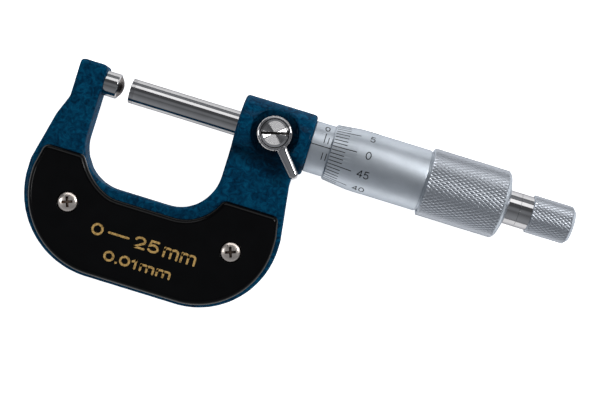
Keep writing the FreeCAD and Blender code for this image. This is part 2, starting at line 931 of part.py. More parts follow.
def make_lock_stud():
    """Threaded stud that presses the shoe down."""
    body = turned(
        "lock_stud",
        [
            (D.shoe_top + 0.02, ZERO),
            (D.shoe_top + 0.02, D.stud_radius),
            (D.lever_ring_top - D.lever_sink, D.stud_radius),
            (D.lever_ring_top - D.lever_sink, D.stud_radius * 0.5),
            (D.shoe_top + 1, D.stud_radius * 0.5),
            (D.shoe_top + 1, ZERO),
        ],
        axis="Z",
    )
    place(body, D.lock_x)
    return body


def make_lock_washer():
    body = turned(
        "lock_washer",
        [
            (D.lock_floor, D.stud_radius + 0.1),
            (D.lock_floor, D.lever_ring_radius - 0.3),
            (D.lock_floor + D.washer_thickness, D.lever_ring_radius - 0.3),
            (D.lock_floor + D.washer_thickness, D.stud_radius + 0.1),
        ],
        axis="Z",
    )
    place(body, D.lock_x)
    return body


def make_lock_lever():
    """Bevelled arm on a ring that sits on the stud; drawn unlocked."""
    underside = D.lock_floor + D.washer_thickness + D.running_gap
    seat = D.lever_ring_top - D.lever_sink
    half = D.lever_width * 0.5
    root = D.lever_ring_radius - 0.5
    body = new_body("lock_lever")
    arm = new_sketch(body, "lever_arm_outline", "XY_Plane", D.lever_underside)
    draw_polygon(
        arm,
        [
            (root, -half),
            (D.lever_reach - 0.9, -half * 0.85),
            (D.lever_reach, -half * 0.4),
            (D.lever_reach, half * 0.4),
            (D.lever_reach - 0.9, half * 0.85),
            (root, half),
        ],
    )
    swept(body, "Pad", arm, "lever_arm", D.lever_ring_top - D.lever_underside - 0.2)
    doc.recompute()
    base = body.Tip
    top = (D.lever_ring_top - 0.2).value

    def is_arm_top(edge):
        box = edge.BoundBox
        level = box.ZLength < 0.01 and abs(box.ZMin - top) < 0.01
        return level and box.XMax > root.value + 0.01

    bevel = body.newObject("PartDesign::Chamfer", "lever_arm_bevel")
    bevel.Base = (base, edges_where(base.Shape, is_arm_top))
    bind(bevel, "Size", D.lever_bevel)
    ring = new_sketch(body, "lever_ring_profile", "XZ_Plane")
    draw_polygon(
        ring,
        [
            (D.stud_radius, underside),
            (D.lever_ring_radius, underside),
            (D.lever_ring_radius, D.lever_ring_top - 0.3),
            (D.lever_ring_radius - 0.3, D.lever_ring_top),
            (D.lever_bore, D.lever_ring_top),
            (D.lever_bore, seat),
            (D.stud_radius, seat),
        ],
    )
    spun(body, "Revolution", ring, "lever_ring", "V_Axis")
    turn_about_z(body, D.lever_angle)
    place(body, D.lock_x)
    return body


def make_lock_screw():
    seat = D.lever_ring_top - D.lever_sink
    head_radius = D.lever_bore - 0.1
    body = turned(
        "lock_screw",
        [
            (seat - 3, ZERO),
            (seat - 3, D.stud_radius * 0.5),
            (seat, D.stud_radius * 0.5),
            (seat, head_radius),
            (seat + 0.7, head_radius),
            (seat + 1.2, head_radius - 0.5),
            (seat + 1.2, ZERO),
        ],
        axis="Z",
    )
    slot = new_sketch(body, "lock_screw_slot_outline", "XY_Plane", seat + 0.5)
    wide = D.lever_bore
    draw_polygon(slot, [(-wide, -0.25), (wide, -0.25), (wide, 0.25), (-wide, 0.25)])
    swept(body, "Pocket", slot, "lock_screw_slot", D.lever_sink * 2, reverse=True)
    turn_about_z(body, D.lock_slot_angle)
    place(body, D.lock_x)
    return body


PIECES = [
    make_frame(),
    make_plate("front_plate", back=False),
    make_plate("back_plate", back=True),
    make_plate_screws("front_plate_screws", back=False),
    make_plate_screws("back_plate_screws", back=True),
    make_anvil(),
    make_anvil_tip(),
    make_spindle_tip(),
    make_spindle(),
    make_threaded_sleeve(),
    make_graduated_sleeve(),
    make_adjusting_nut(),
    make_thimble(),
    make_ratchet_stem(),
    make_ratchet_pawl(),
    make_ratchet_knob(),
    make_ratchet_spring(),
    make_ratchet_washer(),
    make_ratchet_screw(),
    make_lock_shoe(),
    make_lock_stud(),
    make_lock_washer(),
    make_lock_lever(),
    make_lock_screw(),
]

doc.recompute()
for thing in doc.Objects:
    if {"Invalid", "Error"} & set(thing.State):
        raise RuntimeError(f"{thing.Name} ({thing.Label}) failed: {thing.State}")

os.makedirs("parts", exist_ok=True)
for piece in PIECES:
    if piece.Shape.isNull() or not piece.Shape.isValid():
        raise RuntimeError(f"{piece.Label} has no valid shape")
for piece in PIECES:
    piece.Shape.exportStep(f"parts/{piece.Label}.step")
    box = piece.Shape.BoundBox
    print(
        f"{piece.Label}: {len(piece.Shape.Solids)} solid(s), {piece.Shape.Volume:.1f} mm3, "
        f"x {box.XMin:.2f}..{box.XMax:.2f} y {box.YMin:.2f}..{box.YMax:.2f} "
        f"z {box.ZMin:.2f}..{box.ZMax:.2f}"
    )
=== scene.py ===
from math import asin, atan, ceil, cos, hypot, pi, radians, sin, tan

import bmesh
import bpy
from mathutils import Matrix, Vector, noise


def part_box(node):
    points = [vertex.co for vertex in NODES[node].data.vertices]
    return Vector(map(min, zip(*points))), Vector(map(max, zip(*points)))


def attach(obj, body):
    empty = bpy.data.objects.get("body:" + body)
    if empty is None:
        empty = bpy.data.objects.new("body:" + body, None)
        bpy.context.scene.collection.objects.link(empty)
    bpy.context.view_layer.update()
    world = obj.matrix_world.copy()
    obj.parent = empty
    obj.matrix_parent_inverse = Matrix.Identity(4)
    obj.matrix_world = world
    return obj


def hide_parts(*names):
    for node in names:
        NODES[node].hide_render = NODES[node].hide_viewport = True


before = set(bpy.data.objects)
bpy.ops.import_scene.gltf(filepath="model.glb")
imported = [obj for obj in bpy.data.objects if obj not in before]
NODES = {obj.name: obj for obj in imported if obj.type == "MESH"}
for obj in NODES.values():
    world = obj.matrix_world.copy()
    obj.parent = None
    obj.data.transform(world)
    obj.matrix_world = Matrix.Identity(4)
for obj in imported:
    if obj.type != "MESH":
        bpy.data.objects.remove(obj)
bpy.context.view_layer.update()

# Lengths in this script are in millimetres until a mesh is made, which is in metres.
MM = 0.001

# Camera: straight over the tool, rolled so that the spindle runs down to the right.
VIEW_CENTRE = Vector((51.8, -14.1, 0.0))
CAMERA_HEIGHT = 350.0
CAMERA_ROLL = radians(17.17)
VIEW_WIDTH = 154.6
SENSOR_WIDTH = 36.0

# Radius over the points of each knurl, and the depth of its grooves.
GRIP_RADIUS = 9.0
KNURL_DEPTH = 0.16
KNOB_RADIUS = 5.0
KNOB_KNURL_DEPTH = 0.15

# The tool lies on its grip and on its back plate, near the plate's lower edge.
FLOOR_AT_GRIP = -GRIP_RADIUS - 0.02
PLATE_EDGE_DEPTH = 6.5
PLATE_EDGE_REACH = 46.5
FLOOR_TILT = atan((GRIP_RADIUS - PLATE_EDGE_DEPTH) / PLATE_EDGE_REACH)

SCREW_PITCH = 0.5
DIVISIONS = 50

# An outline turned round Z starts and ends this far from its axis.
PINHOLE = 0.02
# A blade that cuts a cross recess stands this far out of the screw's head.
PROUD = 0.2


def low(node):
    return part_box(node)[0] / MM


def high(node):
    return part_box(node)[1] / MM


# ---- meshes


def round_x(x, radius, angle):
    """A point round the measuring axis; angle runs from the front, +Z, towards +Y."""
    return Vector((x, radius * sin(angle), radius * cos(angle)))


def round_z(centre, height, radius, angle):
    return Vector((centre[0] + radius * cos(angle), centre[1] + radius * sin(angle), height))


def added(name, data):
    """A new object in the scene."""
    thing = bpy.data.objects.new(name, data)
    bpy.context.scene.collection.objects.link(thing)
    return thing


class Shell:
    """Points in millimetres, and faces with a finish each, gathered into one mesh."""

    def __init__(self):
        self.points = []
        self.faces = []
        self.finishes = []
        self.flat = []

    def point(self, place):
        self.points.append(place)
        return len(self.points) - 1

    def face(self, corners, finish=0, flat=False):
        self.faces.append(corners)
        self.finishes.append(finish)
        self.flat.append(flat)

    def ring(self, places):
        return [self.point(place) for place in places]

    def band(self, first, second, finish=0, flat=False):
        """Quads between two rings of the same length; finish may depend on the place."""
        count = len(first)
        for here in range(count):
            after = (here + 1) % count
            chosen = finish(here) if callable(finish) else finish
            corners = (first[here], first[after], second[after], second[here])
            self.face(corners, chosen, flat)

    def build(self, name, finishes, sharp_angle=32.0):
        mesh = bpy.data.meshes.new(name)
        mesh.from_pydata([tuple(place * MM) for place in self.points], [], self.faces)
        for finish in finishes:
            mesh.materials.append(finish)
        mesh.polygons.foreach_set("material_index", self.finishes)
        mesh.polygons.foreach_set("use_smooth", [not flat for flat in self.flat])
        work = bmesh.new()
        work.from_mesh(mesh)
        bmesh.ops.recalc_face_normals(work, faces=work.faces)
        work.to_mesh(mesh)
        work.free()
        mesh.set_sharp_from_angle(angle=radians(sharp_angle))
        return added(name, mesh)


# A rounding takes at most this part of each side that meets at its corner.
LONGEST_ROUNDING = 0.48


def rounded(profile, steps=4):
    """Corners given as (x, r) stay sharp; (x, r, size) are rounded over that size."""
    smooth = []
    count = len(profile)
    for index, corner in enumerate(profile):
        place = Vector(corner[:2])
        if len(corner) == 2:
            smooth.append(place)
            continue
        before = Vector(profile[index - 1][:2]) - place
        after = Vector(profile[(index + 1) % count][:2]) - place
        start = place + before.normalized() * min(corner[2], before.length * LONGEST_ROUNDING)
        end = place + after.normalized() * min(corner[2], after.length * LONGEST_ROUNDING)
        for step in range(steps + 1):
            part = step / steps
            smooth.append(start * (1 - part) ** 2 + place * 2 * part * (1 - part) + end * part**2)
    return smooth


def even_angles(count):
    return [2 * pi * step / count for step in range(count)]


def spin(shell, profile, angles, finish=0, sunk=None):
    """A closed outline turned round the measuring axis.

    sunk(x, r, place) is how far a point lies below r, and finish(segment, place) may
    choose a finish for each quad, where place counts along the angles.
    """
    rings = []
    for x, radius in profile:
        places = []
        for place, angle in enumerate(angles):
            depth = sunk(x, radius, place) if sunk else 0.0
            places.append(round_x(x, radius - depth, angle))
        rings.append(shell.ring(places))
    for segment, ring in enumerate(rings):
        after = rings[(segment + 1) % len(rings)]
        if callable(finish):
            shell.band(ring, after, lambda place, s=segment: finish(s, place))
        else:
            shell.band(ring, after, finish)


def rings_round_z(shell, centre, outline, count):
    """A ring for each (radius, height) of an outline round a line along Z."""
    angles = even_angles(count)
    return [
        shell.ring([round_z(centre, height, radius, angle) for angle in angles])
        for radius, height in outline
    ]


def turned(name, node, profile, material, body, count=160):
    """A turned piece that stands for a CAD node, with its own fine edge roundings."""
    shell = Shell()
    spin(shell, rounded(profile), even_angles(count))
    piece = shell.build(name, [material])
    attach(piece, body)
    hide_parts(node)


def apply_modifiers(piece):
    depsgraph = bpy.context.evaluated_depsgraph_get()
    mesh = bpy.data.meshes.new_from_object(piece.evaluated_get(depsgraph))
    piece.modifiers.clear()
    piece.data = mesh


def shade_smooth(mesh, sharp_angle):
    """Smooth shading, except where faces meet at more than an angle in degrees."""
    mesh.polygons.foreach_set("use_smooth", [True] * len(mesh.polygons))
    mesh.set_sharp_from_angle(angle=radians(sharp_angle))


# Corners of a rectangle in turn, in halves of its length and width.
CORNERS = ((-1, -1), (1, -1), (1, 1), (-1, 1))


def add_blade(cutter, centre, turn, layers):
    """A four-sided solid; each layer is a height, half a length and half a width."""
    along = Vector((cos(turn), sin(turn), 0.0))
    across = Vector((-along.y, along.x, 0.0))
    rings = []
    for height, length, width in layers:
        middle = Vector((*centre, height))
        rings.append(
            cutter.ring([middle + along * length * x + across * width * y for x, y in CORNERS])
        )
    cutter.band(*rings)
    for ring in rings:
        cutter.face(ring)


def carve(piece, cutter, name, material, crossed=False):
    """Cut a shape out of a piece; crossed is for parts that run through each other."""
    tool = cutter.build(name, [material])
    cut = piece.modifiers.new(name, "BOOLEAN")
    cut.operation = "DIFFERENCE"
    cut.object = tool
    cut.solver = "EXACT"
    cut.material_mode = "TRANSFER"
    cut.use_self = crossed
    apply_modifiers(piece)
    bpy.data.objects.remove(tool)


def copy_of(node, name):
    """The CAD node's own shape as a new welded mesh."""
    mesh = NODES[node].data.copy()
    mesh.materials.clear()
    work = bmesh.new()
    work.from_mesh(mesh)
    same_place = 0.002 * MM
    bmesh.ops.remove_doubles(work, verts=work.verts, dist=same_place)
    nearly_flat = radians(0.6)
    bmesh.ops.dissolve_limit(work, angle_limit=nearly_flat, verts=work.verts, edges=work.edges)
    bmesh.ops.recalc_face_normals(work, faces=work.faces)
    work.to_mesh(mesh)
    work.free()
    mesh.name = name
    return added(name, mesh)


# Edges sharper than this are rounded over.
BEVELLED_ANGLE = radians(28)


def softened(name, node, material, body, width=0.08, segments=2, clamp=True):
    """The CAD node's shape with small roundings on its edges, as a real piece has."""
    piece = copy_of(node, name)
    bevel = piece.modifiers.new("edges", "BEVEL")
    bevel.width = width * MM
    bevel.segments = segments
    bevel.limit_method = "ANGLE"
    bevel.angle_limit = BEVELLED_ANGLE
    bevel.use_clamp_overlap = clamp
    apply_modifiers(piece)
    shade_smooth(piece.data, sharp_angle=50)
    weighted = piece.modifiers.new("normals", "WEIGHTED_NORMAL")
    weighted.keep_sharp = True
    piece.data.materials.append(material)
    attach(piece, body)
    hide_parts(node)


# ---- materials


class Tree:
    """The shader nodes of a material or of the world."""

    def __init__(self, owner):
        owner.use_nodes = True
        self.nodes = owner.node_tree.nodes
        self.links = owner.node_tree.links

    def node(self, kind, **values):
        """A new node with some of its values set."""
        node = self.nodes.new("ShaderNode" + kind)
        self.set(node, **values)
        return node

    def set(self, node, **values):
        for name, value in values.items():
            node.inputs[name.replace("_", " ")].default_value = value

    def link(self, output, target):
        self.links.new(output, target)

    def ramp(self, factor, stops):
        """Colours or greys at places along a factor."""
        node = self.node("ValToRGB")
        ramp = node.color_ramp
        while len(ramp.elements) < len(stops):
            ramp.elements.new(0.5)
        for element, (place, colour) in zip(ramp.elements, stops):
            element.position = place
            if isinstance(colour, float):
                colour = (colour,) * 3
            element.color = (*colour, 1.0)
        self.link(factor, node.inputs["Fac"])
        return node.outputs["Color"]


class Finish(Tree):
    """A node material round one Principled shader."""

    def __init__(self, name, **values):
        self.material = bpy.data.materials.new(name)
        super().__init__(self.material)
        self.shader = self.nodes["Principled BSDF"]
        self.place = self.node("TexCoord").outputs["Object"]
        self.set(self.shader, **values)

    def noise(self, scale, detail=3.0, roughness=0.5, place=None, curl=0.0):
        """Noise whose features are about 1/scale metres across; curl twists them."""
        node = self.node("TexNoise", Scale=scale, Detail=detail, Roughness=roughness, Distortion=curl)
        self.link(place or self.place, node.inputs["Vector"])
        return node.outputs["Fac"]

    def stretched(self, stretch, centre=(0, 0, 0)):
        """Object coordinates measured from a centre and scaled along each axis."""
        shift = [-at * MM * factor for at, factor in zip(centre, stretch)]
        node = self.node("Mapping", Location=shift, Scale=stretch)
        self.link(self.place, node.inputs["Vector"])
        return node.outputs["Vector"]

    def distance(self, centre, stretch=(1, 1, 1)):
        """Distance in metres from a centre in millimetres, with each axis scaled."""
        length = self.node("VectorMath")
        length.operation = "LENGTH"
        self.link(self.stretched(stretch, centre), length.inputs[0])
        return length.outputs["Value"]

    def cells(self, scale):
        """Rounded cells about 1/scale metres across."""
        node = self.node("TexVoronoi")
        node.feature = "SMOOTH_F1"
        self.set(node, Scale=scale, Smoothness=0.6)
        self.link(self.place, node.inputs["Vector"])
        return node.outputs["Distance"]

    def mixed(self, factor, first, second):
        node = self.node("Mix")
        node.data_type = "RGBA"
        self.link(factor, node.inputs["Factor"])
        for socket, value in zip((node.inputs[6], node.inputs[7]), (first, second)):
            if isinstance(value, tuple):
                socket.default_value = (*value, 1.0)
            else:
                self.link(value, socket)
        return node.outputs[2]

    def colour(self, output):
        self.link(output, self.shader.inputs["Base Color"])

    def rough(self, factor, stops):
        self.link(self.ramp(factor, stops), self.shader.inputs["Roughness"])

    def bump(self, height, distance, strength=1.0, under=None):
        """Relief of the given height in millimetres, laid over another bump if given."""
        node = self.node("Bump", Distance=distance * MM, Strength=strength)
        self.link(height, node.inputs["Height"])
        if under is not None:
            self.link(under, node.inputs["Normal"])
        self.link(node.outputs["Normal"], self.shader.inputs["Normal"])
        return node.outputs["Normal"]


# How much a metal still reflects where it is seen edge on.
EDGE_TINT = (0.42, 0.42, 0.44, 1.0)
# Stretch for the fine lines that turning leaves round the measuring axis.
TURNED = (1.0, 0.02, 0.02)

# Painted shade: the enamel is coloured darker round the lock and in the crease under the hub, where
# shade falls.
LOCK_SHADE_CENTRE = (40.8, 0.0, 5.2)
CREASE_SHADE_CENTRE = (40.5, -6.6, 4.5)


def enamel():
    """Deep blue hammer-tone enamel: dark curling veins between slightly paler pools, with painted
    shade round the lock and in the crease under the hub.
    """
    coat = {"Coat_Weight": 0.08, "Coat_Roughness": 0.14, "Coat_IOR": 1.5}
    finish = Finish("blue_hammer_enamel", Specular_IOR_Level=0.0, **coat)
    veins = finish.noise(520.0, detail=5.0, roughness=0.62, curl=1.6)
    pools = finish.noise(130.0, detail=2.0)
    deep = finish.ramp(
        veins,
        [
            (0.36, (0.0003, 0.012, 0.034)),
            (0.50, (0.0005, 0.034, 0.086)),
            (0.66, (0.0018, 0.078, 0.164)),
        ],
    )
    pale = finish.ramp(veins, [(0.36, (0.0003, 0.028, 0.068)), (0.66, (0.0020, 0.084, 0.172))])
    surface = finish.mixed(pools, deep, pale)
    # Painted shade: near-black blue mixed in round the lock's recess and along the crease under the
    # hub.
    shade = (0.0002, 0.006, 0.014)
    recess = finish.ramp(finish.distance(LOCK_SHADE_CENTRE), [(4.8 * MM, 1.0), (6.7 * MM, 0.0)])
    surface = finish.mixed(recess, surface, shade)
    near_crease = finish.distance(CREASE_SHADE_CENTRE, (0.07, 1, 1))
    crease_shade = finish.ramp(near_crease, [(0.2 * MM, 0.7), (0.9 * MM, 0.0)])
    finish.colour(finish.mixed(crease_shade, surface, shade))
    finish.rough(veins, [(0.35, 0.44), (0.65, 0.30)])
    hammered = finish.bump(finish.cells(620.0), 0.06, strength=0.5)
    relief = finish.bump(finish.noise(2600.0), 0.02, strength=0.3, under=hammered)
    finish.link(relief, finish.shader.inputs["Coat Normal"])
    return finish.material


def black_plastic():
    """Glossy black moulding with a faint moulded ripple and fine rubbed marks."""
    finish = Finish("black_moulding", Specular_IOR_Level=0.13)
    dark, light = (0.0008, 0.0008, 0.0010), (0.0018, 0.0018, 0.0022)
    finish.colour(finish.ramp(finish.noise(180.0), [(0.3, dark), (0.7, light)]))
    scratches = finish.noise(900.0, detail=2.0, place=finish.stretched((1.0, 14.0, 1.0)))
    finish.rough(scratches, [(0.35, 0.12), (0.75, 0.22)])
    ripple = finish.bump(finish.noise(90.0), 0.05, strength=0.25)
    finish.bump(scratches, 0.004, strength=0.4, under=ripple)
    return finish.material


def metal(name, light, dark, rough, grain, relief=0.004):
    """Metal with turning grain round the measuring axis and a little uneven tone."""
    finish = Finish(name, Metallic=1.0, Specular_Tint=EDGE_TINT)
    tone = finish.noise(250.0, detail=4.0)
    finish.colour(finish.ramp(tone, [(0.3, dark), (0.7, light)]))
    lines = finish.noise(grain, detail=2.0, place=finish.stretched(TURNED))
    finish.rough(lines, list(zip((0.3, 0.7), rough)))
    finish.bump(lines, relief, strength=0.5)
    return finish.material


def satin_chrome(name, light, dark, rough):
    """Satin chrome plate: pale, matt and slightly cold, with a very fine blasted texture."""
    finish = Finish(name, Metallic=1.0, Specular_Tint=EDGE_TINT)
    tone = finish.noise(160.0, detail=5.0, roughness=0.6)
    finish.colour(finish.ramp(tone, [(0.3, dark), (0.7, light)]))
    frost = finish.noise(5200.0, detail=2.0)
    finish.rough(frost, list(zip((0.3, 0.7), rough)))
    lines = finish.noise(6000.0, detail=1.0, place=finish.stretched(TURNED))
    under = finish.bump(lines, 0.003, strength=0.35)
    finish.bump(frost, 0.004, strength=0.35, under=under)
    return finish.material


def knurled_chrome(name, crest, depth):
    """Satin chrome, pale on the points of a knurl, with painted shade darkening its grooves."""
    finish = Finish(name, Metallic=1.0, Specular_Tint=EDGE_TINT)
    tone = finish.noise(160.0, detail=5.0, roughness=0.6)
    points = finish.ramp(tone, [(0.3, (0.70, 0.73, 0.775)), (0.7, (0.79, 0.82, 0.865))])
    from_axis = finish.distance((0, 0, 0), (0, 1, 1))
    # Painted shade: the colour darkens from the points towards the bottoms of the grooves.
    bottom, top = (crest - depth * 0.8) * MM, (crest - depth * 0.4) * MM
    groove = finish.ramp(from_axis, [(bottom, 1.0), (top, 0.0)])
    finish.colour(finish.mixed(groove, points, (0.27, 0.29, 0.325)))
    finish.rough(finish.noise(5200.0, detail=2.0), [(0.3, 0.33), (0.7, 0.42)])
    return finish.material


def ink():
    """Matt black filling in the engraved lines."""
    finish = Finish("engraving_ink", Specular_IOR_Level=0.15)
    tone = finish.noise(3000.0)
    finish.colour(finish.ramp(tone, [(0.3, (0.003, 0.003, 0.004)), (0.7, 0.010)]))
    finish.rough(finish.noise(4000.0), [(0.3, 0.45), (0.7, 0.7)])
    return finish.material


def gold_foil():
    """Gold hot-foil lettering, thinner in places."""
    finish = Finish("gold_foil", Metallic=0.35)
    wear = finish.noise(1800.0, detail=4.0)
    finish.colour(finish.ramp(wear, [(0.30, (0.26, 0.15, 0.035)), (0.56, (0.74, 0.47, 0.155))]))
    finish.rough(wear, [(0.3, 0.60), (0.7, 0.42)])
    finish.bump(wear, 0.01, strength=0.5)
    return finish.material


ENAMEL = enamel()
PLASTIC = black_plastic()
SATIN = satin_chrome("satin_chrome", (0.56, 0.60, 0.65), (0.48, 0.52, 0.565), (0.40, 0.50))
GRIP_KNURL = knurled_chrome("grip_knurl", GRIP_RADIUS, KNURL_DEPTH)
KNOB_KNURL = knurled_chrome("knob_knurl", KNOB_RADIUS, KNOB_KNURL_DEPTH)
INK = ink()
GOLD = gold_foil()
POLISHED = metal("polished_steel", (0.47, 0.465, 0.47), (0.41, 0.405, 0.41), (0.06, 0.12), 4000.0)
CHROME = metal("polished_chrome", (0.50, 0.495, 0.50), (0.43, 0.425, 0.435), (0.05, 0.10), 2500.0)
NICKEL = metal("nickel_plate", (0.84, 0.755, 0.69), (0.72, 0.645, 0.585), (0.24, 0.34), 2500.0)
HARD_METAL = metal("hard_metal", (0.22, 0.20, 0.19), (0.15, 0.14, 0.135), (0.16, 0.26), 3000.0)
TIP_METAL = metal("spindle_tip_metal", (0.39, 0.385, 0.39), (0.33, 0.325, 0.33), (0.10, 0.18), 3000.0)
OILED = metal("oiled_steel", (0.42, 0.41, 0.39), (0.30, 0.29, 0.28), (0.22, 0.36), 2500.0, 0.01)
BRASS = metal("turned_brass", (0.78, 0.58, 0.26), (0.62, 0.43, 0.17), (0.20, 0.34), 2500.0, 0.01)
# Painted shade: dark brown steel for the walls of the screws' cross recesses.
RECESS_SHADE_METAL = metal("recess_shade_steel", (0.30, 0.22, 0.17), (0.10, 0.075, 0.06), (0.25, 0.4), 2500.0)
# Painted shade: near-black steel for the faces of the lock screw's slot.
SLOT_SHADE_METAL = metal("slot_shade_steel", (0.075, 0.07, 0.065), (0.04, 0.037, 0.035), (0.3, 0.45), 2500.0)


# ---- bow, plates and lettering


# Enamel builds up outside the bow and stays out of the bore and the lock's recess.
ENAMEL_COAT = 0.08
BORE_REGION = 6.2
BOW_VOXEL = 0.30
# The hammered surface: how often it dips and swells in a millimetre, and how far.
DIMPLE_RATE, DIMPLE_DEPTH = 0.75, 0.035
RIPPLE_RATE, RIPPLE_DEPTH = 0.45, 0.02


def make_bow():
    """The CAD bow with its edges flowed over by thick enamel and a hammered surface."""
    piece = copy_of("frame", "bow")
    remesh = piece.modifiers.new("even", "REMESH")
    remesh.mode = "VOXEL"
    remesh.voxel_size = BOW_VOXEL * MM
    flow = piece.modifiers.new("flow", "SMOOTH")
    flow.factor = 0.5
    flow.iterations = 2
    apply_modifiers(piece)
    mesh = piece.data
    moved = []
    for vertex in mesh.vertices:
        place = vertex.co / MM
        dimple = noise.voronoi(place * DIMPLE_RATE)[0][0]
        ripple = noise.noise(place * RIPPLE_RATE)
        in_bore = place.x > 0 and hypot(place.y, place.z) < BORE_REGION
        coat = 0.0 if in_bore else ENAMEL_COAT
        lift = coat - DIMPLE_DEPTH * (1 - dimple) - RIPPLE_DEPTH * ripple
        moved.append(vertex.co + vertex.normal * MM * lift)
    for vertex, place in zip(mesh.vertices, moved):
        vertex.co = place
    mesh.polygons.foreach_set("use_smooth", [True] * len(mesh.polygons))
    mesh.materials.append(ENAMEL)
    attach(piece, "frame")
    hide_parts("frame")


def arc(centre, reach, start, end, steps=12):
    """Points of part of an ellipse, in degrees, anticlockwise from +X if end is larger."""
    points = []
    for step in range(steps + 1):
        angle = radians(start + (end - start) * step / steps)
        x, y = centre[0] + reach[0] * cos(angle), centre[1] + reach[1] * sin(angle)
        points.append((x, y))
    return points


# Height and half the width of one arch of an m.
X_HEIGHT = 0.80
ARCH = 0.21


def letter_m():
    """Three legs and two arches."""
    strokes = [[(0.0, 0.0), (0.0, X_HEIGHT)]]
    for middle in (ARCH, 3 * ARCH):
        arch = arc((middle, X_HEIGHT - 0.22), (ARCH, 0.22), 180, 0, 8)
        strokes.append([*arch, (middle + ARCH, 0.0)])
    return strokes


# Each character: its width, and its strokes in units of the height of a numeral.
GLYPHS = {
    "0": (0.66, [arc((0.33, 0.5), (0.33, 0.5), 90, 450, 28)]),
    "1": (0.26, [[(0.0, 0.76), (0.14, 0.86), (0.24, 1.0)], [(0.24, 1.0), (0.24, 0.0)]]),
    "2": (
        0.64,
        [[*arc((0.32, 0.70), (0.30, 0.30), 165, -35), (0.0, 0.0)], [(0.0, 0.0), (0.64, 0.0)]],
    ),
    "3": (
        0.60,
        [
            [*arc((0.29, 0.755), (0.27, 0.245), 160, -80), (0.26, 0.52)],
            [(0.26, 0.52), *arc((0.29, 0.27), (0.30, 0.27), 80, -160)],
        ],
    ),
    "4": (
        0.68,
        [[(0.50, 0.0), (0.50, 1.0)], [(0.50, 1.0), (0.0, 0.30)], [(0.0, 0.30), (0.68, 0.30)]],
    ),
    "5": (
        0.62,
        [[(0.58, 1.0), (0.12, 1.0), (0.05, 0.52), *arc((0.30, 0.32), (0.31, 0.32), 125, -150)]],
    ),
    "m": (0.84, letter_m()),
    ".": (0.04, [[(0.0, 0.0), (0.04, 0.0)]]),
    "-": (1.0, [[(0.0, 0.5), (1.0, 0.5)]]),
}
LETTER_GAP = 0.26
# Degrees round the end of a stroke where its outline has points.
CAP_ANGLES = (35, 62, 82)
# Where a stroke turns, its outline reaches out by at most the inverse of this.
MITRE_LIMIT = 0.55


def drawn(words):
    """The strokes of a word side by side, in units of the height of a numeral."""
    strokes = []
    start = 0.0
    for letter in words:
        width, shapes = GLYPHS[letter]
        strokes += [[Vector((start + x, y)) for x, y in shape] for shape in shapes]
        start += width + LETTER_GAP
    return strokes


def fitted(words, width, height):
    """The strokes scaled to a box round the origin; without a width they keep their shape."""
    strokes = drawn(words)
    points = [point for stroke in strokes for point in stroke]
    lows = Vector([min(values) for values in zip(*points)])
    highs = Vector([max(values) for values in zip(*points)])
    span, middle = highs - lows, (lows + highs) / 2
    tall = height / span.y if span.y > 0.01 else width / span.x
    wide = width / span.x if width else tall
    return [
        [Vector(((p.x - middle.x) * wide, (p.y - middle.y) * tall)) for p in stroke]
        for stroke in strokes
    ]


def add_stroke(shell, points, pen, bottom, top, put):
    """A raised ribbon with round ends along a stroke; put(x, y, lift) places each point."""
    closed = (points[0] - points[-1]).length < 1e-6
    if closed:
        points = points[:-1]
    sections = []
    count = len(points)
    for index, point in enumerate(points):
        before = points[index - 1] if closed or index else point
        after = points[(index + 1) % count] if closed or index < count - 1 else point
        ways = [way.normalized() for way in (point - before, after - point) if way.length > 1e-9]
        along = sum(ways, Vector((0.0, 0.0))).normalized()
        mitre = 1 / max(along.dot(ways[0]), MITRE_LIMIT)
        side = Vector((-along.y, along.x)) * (pen / 2)
        sections.append((point, side * mitre, along * (pen / 2)))
    if not closed:
        first, last = sections[0], sections[-1]
        for angle in CAP_ANGLES:
            out, in_ = sin(radians(angle)), cos(radians(angle))
            sections.insert(0, (first[0] - first[2] * out, first[1] * in_, first[2]))
            sections.append((last[0] + last[2] * out, last[1] * in_, last[2]))
    rings = []
    for middle, side, _ in sections:
        left, right = middle + side, middle - side
        corners = ((left, bottom), (left, top), (right, top), (right, bottom))
        rings.append(shell.ring([put(at.x, at.y, lift) for at, lift in corners]))
    for first_ring, second_ring in zip(rings, rings[1:]):
        shell.band(first_ring, second_ring, flat=True)
    if closed:
        shell.band(rings[-1], rings[0], flat=True)
    else:
        shell.face(rings[0], flat=True)
        shell.face(rings[-1], flat=True)


# Lettering on the front plate: words, left, right, bottom and top of each.
PLATE_WORDS = (
    ("0", 3.5, 6.6, -37.8, -34.7),
    ("-", 7.8, 13.5, -36.5, -35.9),
    ("25", 14.8, 21.4, -38.0, -34.8),
    ("mm", 22.6, 31.2, -38.2, -35.4),
    ("0.01", 8.4, 17.1, -43.3, -40.6),
    ("mm", 18.0, 26.2, -43.3, -41.2),
)
PLATE_PEN = 0.56
FOIL_THICKNESS = 0.05


def make_lettering():
    """Range and graduation of the tool in gold foil on the front plate."""
    shell = Shell()
    face = high("front_plate").z
    for words, left, right, bottom, top in PLATE_WORDS:
        centre = Vector(((left + right) / 2, (bottom + top) / 2, face))
        width, height = right - left - PLATE_PEN, top - bottom - PLATE_PEN

        def put(x, y, lift, centre=centre):
            return centre + Vector((x, y, lift))

        for stroke in fitted(words, width, height):
            add_stroke(shell, stroke, PLATE_PEN, -FOIL_THICKNESS, FOIL_THICKNESS, put)
    piece = shell.build("plate_lettering", [GOLD])
    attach(piece, "frame")


def make_plates():
    for node in ("front_plate", "back_plate"):
        softened(f"{node}_moulding", node, PLASTIC, "frame", width=0.12)


HEAD_RADIUS = 2.6
HEAD_HEIGHT = 1.2
RECESS_REACH = 1.55
RECESS_WIDTH = 0.74
RECESS_DEPTH = 0.95
RECESS_TAPER = 0.55
RECESS_TURN = 0.35
RIM_HEIGHT = 0.35
DOME_FULLNESS = 0.8


